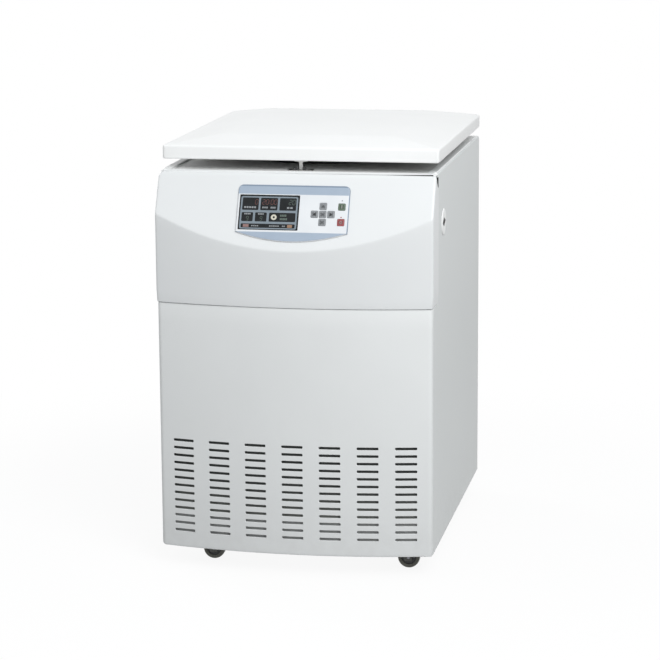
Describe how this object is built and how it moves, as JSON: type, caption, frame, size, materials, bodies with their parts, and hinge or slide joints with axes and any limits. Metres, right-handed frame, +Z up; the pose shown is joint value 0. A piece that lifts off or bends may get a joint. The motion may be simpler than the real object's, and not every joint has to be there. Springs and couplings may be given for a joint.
{
  "type": "floor-standing laboratory centrifuge",
  "caption": "Floor-standing refrigerated centrifuge on casters: bowed white cabinet, hinged hipped lid, tilted control panel, swing-out rotor in a cooled bowl.",
  "frame": {"origin": "on the floor under the middle of the machine's bounding box", "axes": "+Z up; +X to the viewer's right; the bowed front with the control panel faces -Y"},
  "size_m": [0.6243, 0.8379, 0.962],
  "materials": {
    "white_enamel": "satin",
    "white_moulding": "satin",
    "zinc_steel": "satin",
    "stainless": "brushed",
    "alloy": "anodised",
    "spring_steel": "satin",
    "copper": "satin",
    "foam": "matte",
    "black_rubber": "matte",
    "wheel_rubber": "matte",
    "dark_enamel": "satin",
    "fin_stock": "satin",
    "black_plastic": "matte",
    "blue_grey_trim": "satin",
    "display_glass": "gloss",
    "grey_key": "matte",
    "green_key": "matte",
    "red_key": "matte"
  },
  "bodies": {
    "cabinet": {"base_plate": "zinc_steel", "bowl": "stainless", "cable_gland": "black_plastic", "chamber_gasket": "black_rubber", "chassis_plate": "zinc_steel", "compressor": "dark_enamel", "condenser": "fin_stock", "control_bezel": "blue_grey_trim", "display_window": "display_glass", "evaporator_coil": "copper", "fan_bracket": "zinc_steel", "guard_ring": "zinc_steel", "hinge_bracket_left": "zinc_steel", "hinge_bracket_right": "zinc_steel", "insulation_jacket": "foam", "inverter_box": "black_plastic", "left_side_panel": "white_enamel", "lock_motor": "black_plastic", "lower_front_panel": "white_enamel", "motor_housing": "dark_enamel", "motor_mount_1": "black_rubber", "motor_mount_2": "black_rubber", "motor_mount_3": "black_rubber", "rear_panel": "white_enamel", "release_escutcheon": "white_moulding", "right_side_panel": "white_enamel", "top_deck": "white_enamel", "torsion_spring_left": "spring_steel", "torsion_spring_right": "spring_steel", "upper_front_panel": "white_moulding"},
    "lid": {"lid_shell": "white_moulding", "lid_liner": "stainless", "lid_striker": "zinc_steel", "lid_hinge_left": "zinc_steel", "lid_hinge_right": "zinc_steel"},
    "latch": {"latch_hook": "zinc_steel"},
    "rotor": {"drive_shaft": "stainless", "rotor_yoke": "alloy", "rotor_nut": "stainless"},
    "bucket_1": {"bucket_1": "alloy"},
    "bucket_2": {"bucket_2": "alloy"},
    "bucket_3": {"bucket_3": "alloy"},
    "bucket_4": {"bucket_4": "alloy"},
    "key_up": {"key_up": "grey_key"},
    "key_left": {"key_left": "grey_key"},
    "key_enter": {"key_enter": "grey_key"},
    "key_right": {"key_right": "grey_key"},
    "key_down": {"key_down": "grey_key"},
    "key_start": {"key_start": "green_key"},
    "key_stop": {"key_stop": "red_key"},
    "mains_switch": {"mains_switch": "black_plastic"},
    "fan": {"fan_rotor": "black_plastic"},
    "caster_front_left": {"caster_fork_front_left": "zinc_steel"},
    "wheel_front_left": {"caster_wheel_front_left": "wheel_rubber"},
    "caster_front_right": {"caster_fork_front_right": "zinc_steel"},
    "wheel_front_right": {"caster_wheel_front_right": "wheel_rubber"},
    "caster_rear_left": {"caster_fork_rear_left": "zinc_steel"},
    "wheel_rear_left": {"caster_wheel_rear_left": "wheel_rubber"},
    "caster_rear_right": {"caster_fork_rear_right": "zinc_steel"},
    "wheel_rear_right": {"caster_wheel_rear_right": "wheel_rubber"}
  },
  "joints": [
    {"name": "lid_hinge", "type": "hinge", "parent": "cabinet", "child": "lid", "pos_m": [0, 0.38625, 0.9075], "axis": [-1, 0, 0], "range_deg": [0, 70]},
    {"name": "latch_turn", "type": "hinge", "parent": "cabinet", "child": "latch", "pos_m": [0, -0.21885, 0.777], "axis": [1, 0, 0], "range_deg": [0, 12]},
    {"name": "rotor_spin", "type": "hinge", "parent": "cabinet", "child": "rotor", "pos_m": [0, 0.04475, 0], "axis": [0, 0, 1], "continuous": true},
    {"name": "bucket_1_swing", "type": "hinge", "parent": "rotor", "child": "bucket_1", "pos_m": [0.095, 0.04475, 0.7006], "axis": [0, -1, 0], "range_deg": [0, 90]},
    {"name": "bucket_2_swing", "type": "hinge", "parent": "rotor", "child": "bucket_2", "pos_m": [0, 0.13975, 0.7006], "axis": [1, 0, 0], "range_deg": [0, 90]},
    {"name": "bucket_3_swing", "type": "hinge", "parent": "rotor", "child": "bucket_3", "pos_m": [-0.095, 0.04475, 0.7006], "axis": [0, 1, 0], "range_deg": [0, 90]},
    {"name": "bucket_4_swing", "type": "hinge", "parent": "rotor", "child": "bucket_4", "pos_m": [0, -0.05025, 0.7006], "axis": [-1, 0, 0], "range_deg": [0, 90]},
    {"name": "key_up_press", "type": "slide", "parent": "cabinet", "child": "key_up", "axis": [0, 0.8988, -0.4384], "range_m": [0, 0.0008], "stiffness_N_per_m": 800},
    {"name": "key_left_press", "type": "slide", "parent": "cabinet", "child": "key_left", "axis": [0, 0.8988, -0.4384], "range_m": [0, 0.0008], "stiffness_N_per_m": 800},
    {"name": "key_enter_press", "type": "slide", "parent": "cabinet", "child": "key_enter", "axis": [0, 0.8988, -0.4384], "range_m": [0, 0.0008], "stiffness_N_per_m": 800},
    {"name": "key_right_press", "type": "slide", "parent": "cabinet", "child": "key_right", "axis": [0, 0.8988, -0.4384], "range_m": [0, 0.0008], "stiffness_N_per_m": 800},
    {"name": "key_down_press", "type": "slide", "parent": "cabinet", "child": "key_down", "axis": [0, 0.8988, -0.4384], "range_m": [0, 0.0008], "stiffness_N_per_m": 800},
    {"name": "key_start_press", "type": "slide", "parent": "cabinet", "child": "key_start", "axis": [0, 0.8988, -0.4384], "range_m": [0, 0.0008], "stiffness_N_per_m": 800},
    {"name": "key_stop_press", "type": "slide", "parent": "cabinet", "child": "key_stop", "axis": [0, 0.8988, -0.4384], "range_m": [0, 0.0008], "stiffness_N_per_m": 800},
    {"name": "mains_switch_rock", "type": "hinge", "parent": "cabinet", "child": "mains_switch", "pos_m": [0.2147, 0.40225, 0.26], "axis": [1, 0, 0], "range_deg": [0, 16]},
    {"name": "fan_spin", "type": "hinge", "parent": "cabinet", "child": "fan", "pos_m": [0, -0.20075, 0.1891], "axis": [0, 1, 0], "continuous": true},
    {"name": "caster_front_left_swivel", "type": "hinge", "parent": "cabinet", "child": "caster_front_left", "pos_m": [-0.2255, -0.31175, 0], "axis": [0, 0, 1], "continuous": true},
    {"name": "wheel_front_left_roll", "type": "hinge", "parent": "caster_front_left", "child": "wheel_front_left", "pos_m": [-0.204, -0.31175, 0.025], "axis": [0, 1, 0], "continuous": true},
    {"name": "caster_front_right_swivel", "type": "hinge", "parent": "cabinet", "child": "caster_front_right", "pos_m": [0.2255, -0.31175, 0], "axis": [0, 0, 1], "continuous": true},
    {"name": "wheel_front_right_roll", "type": "hinge", "parent": "caster_front_right", "child": "wheel_front_right", "pos_m": [0.247, -0.31175, 0.025], "axis": [0, 1, 0], "continuous": true},
    {"name": "caster_rear_left_swivel", "type": "hinge", "parent": "cabinet", "child": "caster_rear_left", "pos_m": [-0.2255, 0.30325, 0], "axis": [0, 0, 1], "continuous": true},
    {"name": "wheel_rear_left_roll", "type": "hinge", "parent": "caster_rear_left", "child": "wheel_rear_left", "pos_m": [-0.204, 0.30325, 0.025], "axis": [0, 1, 0], "continuous": true},
    {"name": "caster_rear_right_swivel", "type": "hinge", "parent": "cabinet", "child": "caster_rear_right", "pos_m": [0.2255, 0.30325, 0], "axis": [0, 0, 1], "continuous": true},
    {"name": "wheel_rear_right_roll", "type": "hinge", "parent": "caster_rear_right", "child": "wheel_rear_right", "pos_m": [0.247, 0.30325, 0.025], "axis": [0, 1, 0], "continuous": true}
  ]
}
